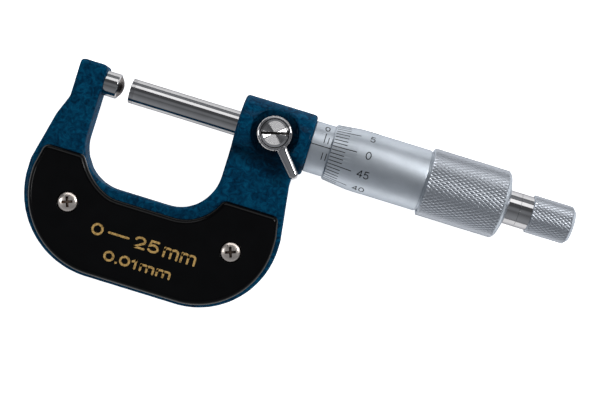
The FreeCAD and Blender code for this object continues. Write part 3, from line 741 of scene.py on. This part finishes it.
def make_screw_head(name, x, y, seat, out):
    """Domed screw head with a tapered cross recess; out is +1 in front and -1 behind."""
    shell = Shell()
    outline = [(PINHOLE, 0.0), (HEAD_RADIUS - 0.08, 0.0), (HEAD_RADIUS, 0.10)]
    steps = 8
    for step in range(steps):
        angle = (step + 1) / (steps + 1) * pi / 2
        radius = HEAD_RADIUS * cos(angle) ** DOME_FULLNESS
        outline.append((radius, RIM_HEIGHT + (HEAD_HEIGHT - RIM_HEIGHT) * sin(angle)))
    outline.append((PINHOLE, HEAD_HEIGHT))
    outline = [(radius, seat + out * height) for radius, height in outline]
    rings = rings_round_z(shell, (x, y), outline, 64)
    for first, second in zip(rings, rings[1:]):
        shell.band(first, second)
    shell.face(rings[0])
    shell.face(rings[-1])
    head = shell.build(name, [NICKEL])
    cut_cross(head, x, y, seat, out)
    return head


def cut_cross(head, x, y, seat, out):
    """A cross recess that narrows with depth."""
    top, bottom = HEAD_HEIGHT + PROUD, HEAD_HEIGHT - RECESS_DEPTH
    layers = [
        (seat + out * height, RECESS_REACH * scale, RECESS_WIDTH / 2 * scale)
        for height, scale in ((top, 1.0), (bottom, RECESS_TAPER))
    ]
    cutter = Shell()
    for turn in (0.0, pi / 2):
        add_blade(cutter, (x, y), turn + RECESS_TURN, layers)
    # The recess walls take dark brown steel as painted shade.
    carve(head, cutter, "cross_tool", RECESS_SHADE_METAL, crossed=True)
    shade_smooth(head.data, sharp_angle=35)


def make_plate_screws():
    for node, out in (("front_plate_screws", 1), ("back_plate_screws", -1)):
        lowest, highest = low(node), high(node)
        y = (lowest.y + highest.y) / 2
        seat = (highest.z if out > 0 else lowest.z) - out * HEAD_HEIGHT
        sides = (("left", lowest.x + HEAD_RADIUS), ("right", highest.x - HEAD_RADIUS))
        for side, x in sides:
            head = make_screw_head(f"{node}_{side}_head", x, y, seat, out)
            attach(head, "frame")
            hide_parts(node)


# ---- anvil and spindle


SPINDLE_RADIUS = 3.25


def make_anvil():
    back = low("anvil").x
    rim = high("anvil").x
    arm = -5.0
    pin, pocket, pocket_depth = 2.5, 2.75, 0.55
    outline = [
        (back, 0.02),
        (back, pin),
        (arm, pin),
        (arm, SPINDLE_RADIUS),
        (rim - 0.3, SPINDLE_RADIUS, 0.12),
        (rim, SPINDLE_RADIUS - 0.3, 0.08),
        (rim, pocket),
        (rim - pocket_depth, pocket),
        (rim - pocket_depth, 0.02),
    ]
    turned("anvil_pin", "anvil", outline, POLISHED, "frame")
    ball = 3.8
    start = low("anvil_tip").x
    dome = [(start, 0.01), (start, pocket)]
    steps = 10
    widest = asin(pocket / ball)
    for step in range(steps + 1):
        angle = widest * (1 - step / steps)
        dome.append((ball * (cos(angle) - 1), max(ball * sin(angle), 0.01)))
    turned("anvil_dome", "anvil_tip", dome, HARD_METAL, "frame")


# Places along the spindle from its measuring face.
ROD_END = 42.0
THREAD_START = 44.0
THREAD_END = 83.0
COLLAR = 88.0
CONE = 91.0
POST_END = 98.0
# Radii of the measuring screw and of the seat that holds the thimble.
ROOT = 3.38
CREST = 3.65
SEAT_RADIUS = 4.2


def make_spindle():
    tip = low("spindle_tip").x
    joint = high("spindle_tip").x
    seam = joint - 0.02
    disc = [(tip, 0.01), (tip, SPINDLE_RADIUS, 0.15), (seam, SPINDLE_RADIUS), (seam, 0.01)]
    turned("spindle_face_disc", "spindle_tip", disc, TIP_METAL, "measuring_tip")
    outline = [
        (joint, 0.01),
        (joint, SPINDLE_RADIUS),
        (ROD_END + tip, SPINDLE_RADIUS, 0.1),
        (ROD_END + 0.3 + tip, ROOT - 0.3),
        (THREAD_START - 0.5 + tip, ROOT - 0.3),
    ]
    for tooth in range(round((THREAD_END - THREAD_START) / SCREW_PITCH)):
        foot = THREAD_START + tip + tooth * SCREW_PITCH
        outline += [(foot, ROOT), (foot + SCREW_PITCH / 2, CREST)]
    outline += [
        (THREAD_END + tip, ROOT),
        (THREAD_END + tip, ROOT - 0.2),
        (COLLAR + tip, ROOT - 0.2),
        (COLLAR + tip, SEAT_RADIUS, 0.2),
        (CONE + tip, SEAT_RADIUS),
        (POST_END + tip, 3.6, 0.1),
        (POST_END + tip, 1.6),
        (CONE + tip, 1.6),
        (CONE + tip, 0.01),
    ]
    turned("spindle_rod", "spindle", outline, POLISHED, "thimble", count=128)


# ---- scales


SLEEVE_RADIUS = 6.75
SLEEVE_START = 50.0
SLEEVE_END = 80.4
DATUM_ANGLE = radians(4.5)
LINE_WIDTH = 0.21
LINE_DEPTH = 0.08
READING = 1.99
ZERO_MARK = low("thimble").x - READING
UNIT_MARK = (radians(12.0), radians(27.5))
FIVE_MARK = (radians(12.0), radians(36.5))
HALF_MARK = (radians(-24.5), radians(-8.0))
SLEEVE_DIGIT_ANGLE = radians(51.0)


def sleeve_marks():
    """Each mark as its place along the sleeve and the angles that it runs between."""
    marks = []
    for half in range(51):
        place = ZERO_MARK + half * SCREW_PITCH
        if half % 2:
            marks.append((place, HALF_MARK))
        else:
            marks.append((place, FIVE_MARK if half % 10 == 0 else UNIT_MARK))
    return marks


def between(value, ends, slack=1e-6):
    return ends[0] - slack <= value <= ends[1] + slack


def make_sleeve():
    """Sleeve with its datum line and marks cut into it as filled V-grooves."""
    marks = sleeve_marks()
    half = LINE_WIDTH / 2
    bore, chamfer = 5.55, 0.25
    stations = [SLEEVE_START + chamfer]
    for place, _ in marks:
        stations += [place - half, place, place + half]
    stations.append(SLEEVE_END - chamfer)
    profile = [(SLEEVE_START, bore), (SLEEVE_START, SLEEVE_RADIUS - chamfer)]
    first_station = len(profile)
    profile += [(station, SLEEVE_RADIUS) for station in stations]
    profile += [(SLEEVE_END, SLEEVE_RADIUS - chamfer), (SLEEVE_END, bore)]

    groove = half / SLEEVE_RADIUS
    ramp = radians(0.6)
    angles = {DATUM_ANGLE - groove, DATUM_ANGLE, DATUM_ANGLE + groove}
    for start, end in (UNIT_MARK, FIVE_MARK, HALF_MARK):
        angles |= {start, start + ramp, end - ramp, end}
    columns = 120
    step = 2 * pi / columns
    for column in range(columns):
        angle = column * step - pi
        if min(abs(angle - other) for other in angles) > step * 0.45:
            angles.add(angle)
    angles = sorted(angles)
    centres = {round(place, 4): span for place, span in marks}

    def sunk(x, radius, place):
        angle = angles[place]
        span = centres.get(round(x, 4))
        on_mark = span and span[0] + ramp / 2 < angle < span[1] - ramp / 2
        on_datum = abs(angle - DATUM_ANGLE) < 1e-6
        outside = radius >= SLEEVE_RADIUS - 0.01
        return LINE_DEPTH if outside and (on_mark or on_datum) else 0.0

    def finish(segment, place):
        middle = (angles[place] + angles[(place + 1) % len(angles)]) / 2
        station = segment - first_station
        if not 0 <= station < len(stations) - 1:
            return 0
        which, part = divmod(station - 1, 3)
        on_mark = part < 2 and 0 <= which < len(marks) and between(middle, marks[which][1])
        return int(on_mark or abs(middle - DATUM_ANGLE) < groove)

    shell = Shell()
    spin(shell, profile, angles, finish, sunk)
    piece = shell.build("scale_sleeve", [SATIN, INK])
    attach(piece, "frame")
    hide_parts("graduated_sleeve")
    digits = Shell()
    for number in range(0, 26, 5):
        place = ZERO_MARK + number
        wrap_text(digits, str(number), place, SLEEVE_DIGIT_ANGLE, 1.9, SLEEVE_RADIUS)
    numbers = digits.build("sleeve_numbers", [INK])
    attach(numbers, "frame")


SCALE_PEN = 0.24
# Strokes on a cylinder have points this close.
CHORD = 0.3


def divided(stroke):
    """The stroke with points close enough together to follow a cylinder."""
    points = [stroke[0]]
    for start, end in zip(stroke, stroke[1:]):
        parts = max(1, ceil((end - start).length / CHORD))
        points += [start.lerp(end, (part + 1) / parts) for part in range(parts)]
    return points


def wrap_text(shell, words, x, angle, height, radius):
    """Filled numerals lying round a cylinder, read with the measuring axis level."""

    def put(along, up, lift):
        return round_x(x + along, radius + lift, angle + up / radius)

    for stroke in fitted(words, None, height - SCALE_PEN):
        add_stroke(shell, divided(stroke), SCALE_PEN, -0.05, 0.025, put)


# The line of the thimble that stands at the datum line at rest.
THIMBLE_ZERO_LINE = 49
THIMBLE_BORE = 6.95
EDGE_RADIUS = 7.3
DRUM_RADIUS = 8.1
STEM_RADIUS = 4.45
BEVEL_LENGTH = 6.8
SHORT_LINE = 3.9
THIMBLE_DIGIT_PLACE = 9.75
GRIP_LENGTH = 21.8
NECK_DEPTH = 0.3

# Half the size of a knurl's flat points, as a part of the spacing of its grooves, and its
# plain edge at each end.
BLUNTNESS = 0.22
KNURL_MARGIN = 0.12


def knurl(shell, left, right, start, end, crest, depth, rows, finish, plain):
    """Diamond knurl between two rings: blunt points between two families of grooves."""
    count = len(left)
    turn = 2 * pi / count
    step = (end - start) / rows
    grooves = {}
    for row in range(rows + 1):
        for column in range(count):
            if (row + column) % 2 == 0:
                place = round_x(start + row * step, crest - depth, column * turn)
                grooves[row, column] = shell.point(place)

    def groove(row, column):
        return grooves[row, column % count]

    def facet(finish, *corners):
        shell.face(corners, finish, flat=True)

    def top(row, column, along, around):
        x = start + (row + along * BLUNTNESS) * step
        return shell.point(round_x(x, crest, (column + around * BLUNTNESS) * turn))

    for row in range(rows + 1):
        for column in range(count):
            if (row + column) % 2 == 0:
                continue
            up, down = top(row, column, 0, 1), top(row, column, 0, -1)
            above, below = groove(row, column + 1), groove(row, column - 1)
            crown = [up]
            if row < rows:
                ahead = top(row, column, 1, 0)
                facet(finish, above, groove(row + 1, column), ahead, up)
                facet(finish, groove(row + 1, column), below, down, ahead)
                crown.append(ahead)
            crown.append(down)
            if row > 0:
                behind = top(row, column, -1, 0)
                facet(finish, groove(row - 1, column), above, up, behind)
                facet(finish, below, groove(row - 1, column), behind, down)
                crown.append(behind)
            facet(finish, *crown)
            if row in (0, rows):
                ring = left if row == 0 else right
                here = ring[column]
                facet(plain, ring[(column - 1) % count], below, down, here)
                facet(plain, here, down, up)
                facet(plain, here, up, above, ring[(column + 1) % count])


def spin_with_knurl(shell, before, after, crest, depth, count, rows, finish, plain):
    """A closed turned outline whose stretch between two lists of corners is knurled."""
    angles = even_angles(count)
    outline = rounded(before) + rounded(after)
    rings = [
        shell.ring([round_x(x, radius, angle) for angle in angles]) for x, radius in outline
    ]
    last_before = len(rounded(before)) - 1
    for index, ring in enumerate(rings):
        follows = rings[(index + 1) % len(rings)]
        if index != last_before:
            shell.band(ring, follows, plain)
            continue
        start, end = outline[index].x + KNURL_MARGIN, outline[index + 1].x - KNURL_MARGIN
        knurl(shell, ring, follows, start, end, crest, depth, rows, finish, plain)


def make_thimble():
    """Thimble: bevel with fifty filled lines, numbers on the drum, and a knurled grip."""
    edge = low("thimble").x
    end = high("thimble").x
    cone_end = edge + BEVEL_LENGTH
    grip_start = end - GRIP_LENGTH
    drum_end = grip_start - 0.5
    slope = (DRUM_RADIUS - EDGE_RADIUS) / BEVEL_LENGTH
    line_start = edge + 0.34
    ramp = 0.08
    short_end = edge + SHORT_LINE
    long_end = cone_end - 0.15
    stations = [line_start, line_start + ramp]
    stations += [short_end - ramp, short_end, long_end - ramp, long_end]
    profile = [
        (edge + 0.3, THIMBLE_BORE),
        (edge, THIMBLE_BORE + 0.1),
        (edge, EDGE_RADIUS - 0.30),
        (edge + 0.05, EDGE_RADIUS - 0.18),
        (edge + 0.32, EDGE_RADIUS + 0.02),
    ]
    first_station = len(profile)
    profile += [(x, EDGE_RADIUS + (x - edge) * slope) for x in stations]
    profile += [
        (cone_end - 0.05, DRUM_RADIUS - 0.004),
        (cone_end + 0.1, DRUM_RADIUS),
        (drum_end - 0.3, DRUM_RADIUS),
        (drum_end - 0.08, DRUM_RADIUS - 0.06),
        (drum_end, DRUM_RADIUS - 0.25),
        (drum_end + 0.3, DRUM_RADIUS - NECK_DEPTH),
        (drum_end + 0.3, THIMBLE_BORE),
    ]
    pitch = 2 * pi / DIVISIONS
    groove = LINE_WIDTH / 2 / EDGE_RADIUS
    angles = []
    long_lines = set()
    for line in range(DIVISIONS):
        centre = DATUM_ANGLE + (line - THIMBLE_ZERO_LINE) * pitch
        if line % 5 == 0:
            long_lines.add(len(angles) + 1)
        angles += [centre - groove, centre, centre + groove]
        angles += [centre + pitch * part for part in (0.3, 0.5, 0.7)]
    per_line = len(angles) // DIVISIONS

    def sunk(x, _, place):
        if place % per_line != 1:
            return 0.0
        stop = long_end if place in long_lines else short_end
        return LINE_DEPTH if line_start + ramp / 2 < x < stop - ramp / 2 else 0.0

    def finish(segment, place):
        station = segment - first_station
        if not 0 <= station < len(stations) - 1 or place % per_line not in (0, 1):
            return 0
        centre = place - place % per_line + 1
        stop = long_end if centre in long_lines else short_end
        return 1 if stations[station + 1] <= stop + 1e-6 else 0

    shell = Shell()
    spin(shell, profile, angles, finish, sunk)

    wall = end - 8.9
    socket, hole = 4.15, 3.65
    before = [
        (wall, THIMBLE_BORE),
        (drum_end + 0.2, THIMBLE_BORE),
        (drum_end + 0.2, DRUM_RADIUS - NECK_DEPTH - 0.02),
        (grip_start, DRUM_RADIUS - NECK_DEPTH),
        (grip_start, GRIP_RADIUS - 0.35, 0.1),
    ]
    after = [
        (end - 1.65, GRIP_RADIUS - 0.12, 0.1),
        (end - 0.9, DRUM_RADIUS, 0.5),
        (end, STEM_RADIUS + 0.55, 0.4),
        (end, hole, 0.1),
        (end - 2.9, hole),
        (wall, socket),
    ]
    spin_with_knurl(
        shell, before, after, GRIP_RADIUS, KNURL_DEPTH, count=110, rows=21, finish=2, plain=0
    )
    piece = shell.build("thimble_drum", [SATIN, INK, GRIP_KNURL])
    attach(piece, "thimble")
    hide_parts("thimble")

    digits = Shell()
    for number in range(0, DIVISIONS, 5):
        angle = DATUM_ANGLE + (number - THIMBLE_ZERO_LINE) * pitch
        place = edge + THIMBLE_DIGIT_PLACE
        wrap_text(digits, str(number), place, angle, 2.1, DRUM_RADIUS)
    numbers = digits.build("thimble_numbers", [INK])
    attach(numbers, "thimble")


# ---- ratchet stop


def make_ratchet():
    softened("stem_and_crown", "ratchet_stem", CHROME, "thimble", width=0.07)
    softened("pawl_ring", "ratchet_pawl", OILED, "ratchet_pawl", width=0.04)
    softened("end_washer", "ratchet_washer", NICKEL, "thimble", width=0.04)
    softened("end_screw", "ratchet_screw", NICKEL, "thimble", width=0.06)
    face = low("ratchet_knob").x
    end = high("ratchet_knob").x
    grip = face + 3.15
    floor = high("ratchet_stem").x - 0.05
    cup, post_hole, screw_hole = 3.6, 1.56, 2.7
    skirt = [
        (face, cup),
        (face, STEM_RADIUS, 0.08),
        (grip + 0.05, STEM_RADIUS),
        (grip + 0.05, cup),
    ]
    before = [
        (end - 3.5, post_hole),
        (end - 3.5, cup),
        (grip, cup),
        (grip, KNOB_RADIUS - 0.3, 0.08),
    ]
    after = [
        (end - 0.85, KNOB_RADIUS - 0.2, 0.08),
        (end, KNOB_RADIUS - 1.1, 0.2),
        (end, screw_hole, 0.12),
        (floor, screw_hole),
        (floor, post_hole),
    ]
    shell = Shell()
    spin(shell, rounded(skirt), even_angles(128), finish=1)
    spin_with_knurl(
        shell, before, after, KNOB_RADIUS, KNOB_KNURL_DEPTH, count=66, rows=13, finish=0, plain=2
    )
    piece = shell.build("ratchet_grip", [KNOB_KNURL, CHROME, SATIN])
    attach(piece, "ratchet_knob")
    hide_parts("ratchet_knob")


# ---- lock and inner pieces


# The faced end of the lock's screw: the radius, spacing and height of its rings.
FACED_RADIUS = 3.05
RIDGE_PITCH = 0.12
RIDGE_HEIGHT = 0.024
SLOT_ANGLE = radians(15.0)
SLOT_WIDTH = 0.68
SLOT_DEPTH = 0.55
# The slot runs right across the head.
SLOT_REACH = 5.0


def make_lock_screw():
    """Screw on the lever: its end is faced in fine rings, which fan the light into wedges."""
    lowest, highest = low("lock_screw"), high("lock_screw")
    centre = ((lowest.x + highest.x) / 2, (lowest.y + highest.y) / 2)
    radius = (highest.x - lowest.x) / 2
    shank, thickness = 1.2, 1.2
    seat = highest.z - thickness
    outline = [(PINHOLE, lowest.z), (shank, lowest.z), (shank, seat), (radius, seat)]
    outline += [(radius, highest.z - 0.35), (FACED_RADIUS, highest.z - 0.04)]
    for step in range(1, int(FACED_RADIUS / RIDGE_PITCH * 2) - 1):
        sunk = RIDGE_HEIGHT * (step % 2)
        outline.append((FACED_RADIUS - step * RIDGE_PITCH / 2, highest.z - sunk))
    outline.append((PINHOLE, highest.z))
    shell = Shell()
    rings = rings_round_z(shell, centre, outline, 96)
    for index, ring in enumerate(rings):
        shell.band(ring, rings[(index + 1) % len(rings)])
    screw = shell.build("lever_screw", [POLISHED], sharp_angle=12.0)
    cutter = Shell()
    heights = (highest.z - SLOT_DEPTH, highest.z + 0.5)
    layers = [(height, SLOT_REACH, SLOT_WIDTH / 2) for height in heights]
    add_blade(cutter, centre, SLOT_ANGLE, layers)
    # The slot's faces take near-black steel as painted shade.
    carve(screw, cutter, "slot_tool", SLOT_SHADE_METAL)
    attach(screw, "lock_lever")
    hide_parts("lock_screw")


def make_lock():
    softened("lever", "lock_lever", CHROME, "lock_lever", width=0.36, segments=4, clamp=False)
    make_lock_screw()
    softened("lock_post", "lock_stud", OILED, "lock_lever", width=0.05)
    softened("lock_spacer", "lock_washer", OILED, "frame", width=0.04)
    softened("brass_shoe", "lock_shoe", BRASS, "lock_shoe", width=0.04)


def make_inner_pieces():
    softened("barrel_tube", "threaded_sleeve", OILED, "frame", width=0.05)
    softened("play_ring", "adjusting_nut", OILED, "frame", width=0.06)
    spring = NODES["ratchet_spring"]
    spring.data.materials.clear()
    spring.data.materials.append(OILED)


# ---- studio


# The paper is pure white to the eye, but the tool mirrors it as only a lit sheet.
SEEN_GLOW = 0.95
REFLECTED_GLOW = 0.75
FLOOR_REACH = 900.0
PURE_WHITE = (1.0, 1.0, 1.0, 1.0)


def make_floor():
    white = Finish("studio_floor", Roughness=0.9, Specular_IOR_Level=0.1, Emission_Color=PURE_WHITE)
    white.colour(white.ramp(white.noise(20.0), [(0.3, 0.93), (0.7, 0.95)]))
    glow = white.node("MapRange", To_Min=REFLECTED_GLOW, To_Max=SEEN_GLOW)
    seen = white.node("LightPath").outputs["Is Camera Ray"]
    white.link(seen, glow.inputs["Value"])
    white.link(glow.outputs["Result"], white.shader.inputs["Emission Strength"])
    shell = Shell()
    for along, across in CORNERS:
        y = across * FLOOR_REACH
        height = FLOOR_AT_GRIP - tan(FLOOR_TILT) * y
        shell.point(Vector((VIEW_CENTRE.x + along * FLOOR_REACH, y, height)))
    shell.face((0, 1, 2, 3), flat=True)
    floor = shell.build("studio_floor", [white.material])


def area_light(name, length, width, radiance):
    """A flat light of a given brightness, whatever its size."""
    data = bpy.data.lights.new(name, "AREA")
    data.shape = "RECTANGLE"
    data.size = length * MM
    data.size_y = width * MM
    data.energy = pi * data.size * data.size_y * radiance
    return added(name, data)


# The soft box over the tool: its angle from overhead towards +Y, how much of that arc it
# fills, its distance, length and brightness, and how far it is shifted to the ratchet end.
BOX_SLANT = radians(48.5)
BOX_ARC = radians(25.0)
BOX_REACH = 600.0
BOX_LENGTH = 1200.0
BOX_RADIANCE = 1.7
BOX_SHIFT = 150.0


def make_soft_box():
    width = 2 * BOX_REACH * tan(BOX_ARC / 2)
    light = area_light("soft_box", BOX_LENGTH, width, BOX_RADIANCE)
    centre = Vector((VIEW_CENTRE.x + BOX_SHIFT, 0.0, 0.0))
    away = Vector((0.0, sin(BOX_SLANT), cos(BOX_SLANT)))
    light.location = (centre + away * BOX_REACH) * MM
    light.rotation_euler = (-BOX_SLANT, 0.0, 0.0)


# Brightness of the room round the measuring axis: degrees from overhead towards +Y.
ROOM = (
    (-180, 0.36),
    (-100, 0.10),
    (-92, 0.10),
    (-80, 0.38),
    (-60, 0.38),
    (-35, 0.26),
    (-22, 0.17),
    (-9, 0.28),
    (2, 0.26),
    (12, 0.11),
    (62, 0.11),
    (70, 0.38),
    (84, 0.28),
    (180, 0.36),
)


def make_room():
    """A dim studio whose brightness changes with the direction round the measuring axis.

    Past the floor's edge the eye sees plain white paper instead.
    """
    world = bpy.data.worlds.new("studio")
    bpy.context.scene.world = world
    tree = Tree(world)
    split = tree.node("SeparateXYZ")
    tree.link(tree.node("TexCoord").outputs["Generated"], split.inputs["Vector"])
    slant = tree.node("Math")
    slant.operation = "ARCTAN2"
    tree.link(split.outputs["Y"], slant.inputs[0])
    tree.link(split.outputs["Z"], slant.inputs[1])
    part = tree.node("MapRange", From_Min=-pi, From_Max=pi)
    tree.link(slant.outputs["Value"], part.inputs["Value"])
    stops = [((turn + 180) / 360, (grey * 0.96, grey, grey * 1.06)) for turn, grey in ROOM]
    room = tree.nodes["Background"]
    tree.link(tree.ramp(part.outputs["Result"], stops), room.inputs["Color"])
    paper = tree.node("Background", Color=PURE_WHITE)
    shown = tree.node("MixShader")
    tree.link(tree.node("LightPath").outputs["Is Camera Ray"], shown.inputs["Fac"])
    tree.link(room.outputs["Background"], shown.inputs[1])
    tree.link(paper.outputs["Background"], shown.inputs[2])
    tree.link(shown.outputs["Shader"], tree.nodes["World Output"].inputs["Surface"])


# Two small windows beside the tool: direction to each, its side and its brightness. They
# show only on edges and domes that face them.
WINDOWS = (
    ("right_window", (0.62, 0.42, 0.66), 150.0, 14.0),
    ("left_window", (-0.66, -0.10, 0.74), 120.0, 7.0),
)
WINDOW_AIM = Vector((20.0, -20.0, 0.0))
WINDOW_REACH = 600.0


def make_window(name, direction, side, radiance):
    light = area_light(name, side, side, radiance)
    away = Vector(direction).normalized()
    light.location = (WINDOW_AIM + away * WINDOW_REACH) * MM
    light.rotation_euler = away.to_track_quat("Z", "Y").to_euler()


def make_studio():
    make_floor()
    make_room()
    for window in WINDOWS:
        make_window(*window)
    make_soft_box()
    bpy.context.scene.view_settings.view_transform = "Standard"


def make_camera():
    data = bpy.data.cameras.new("photo_view")
    camera = added("photo_view", data)
    place = VIEW_CENTRE + Vector((0.0, 0.0, CAMERA_HEIGHT))
    roll = Matrix.Rotation(CAMERA_ROLL, 4, "Z")
    camera.matrix_world = Matrix.Translation(place * MM) @ roll
    data.sensor_width = SENSOR_WIDTH
    data.lens = SENSOR_WIDTH * CAMERA_HEIGHT / VIEW_WIDTH
    data.clip_start = 0.01
    bpy.context.scene.camera = camera


make_camera()
make_studio()
make_bow()
make_plates()
make_lettering()
make_plate_screws()
make_anvil()
make_spindle()
make_sleeve()
make_thimble()
make_ratchet()
make_lock()
make_inner_pieces()
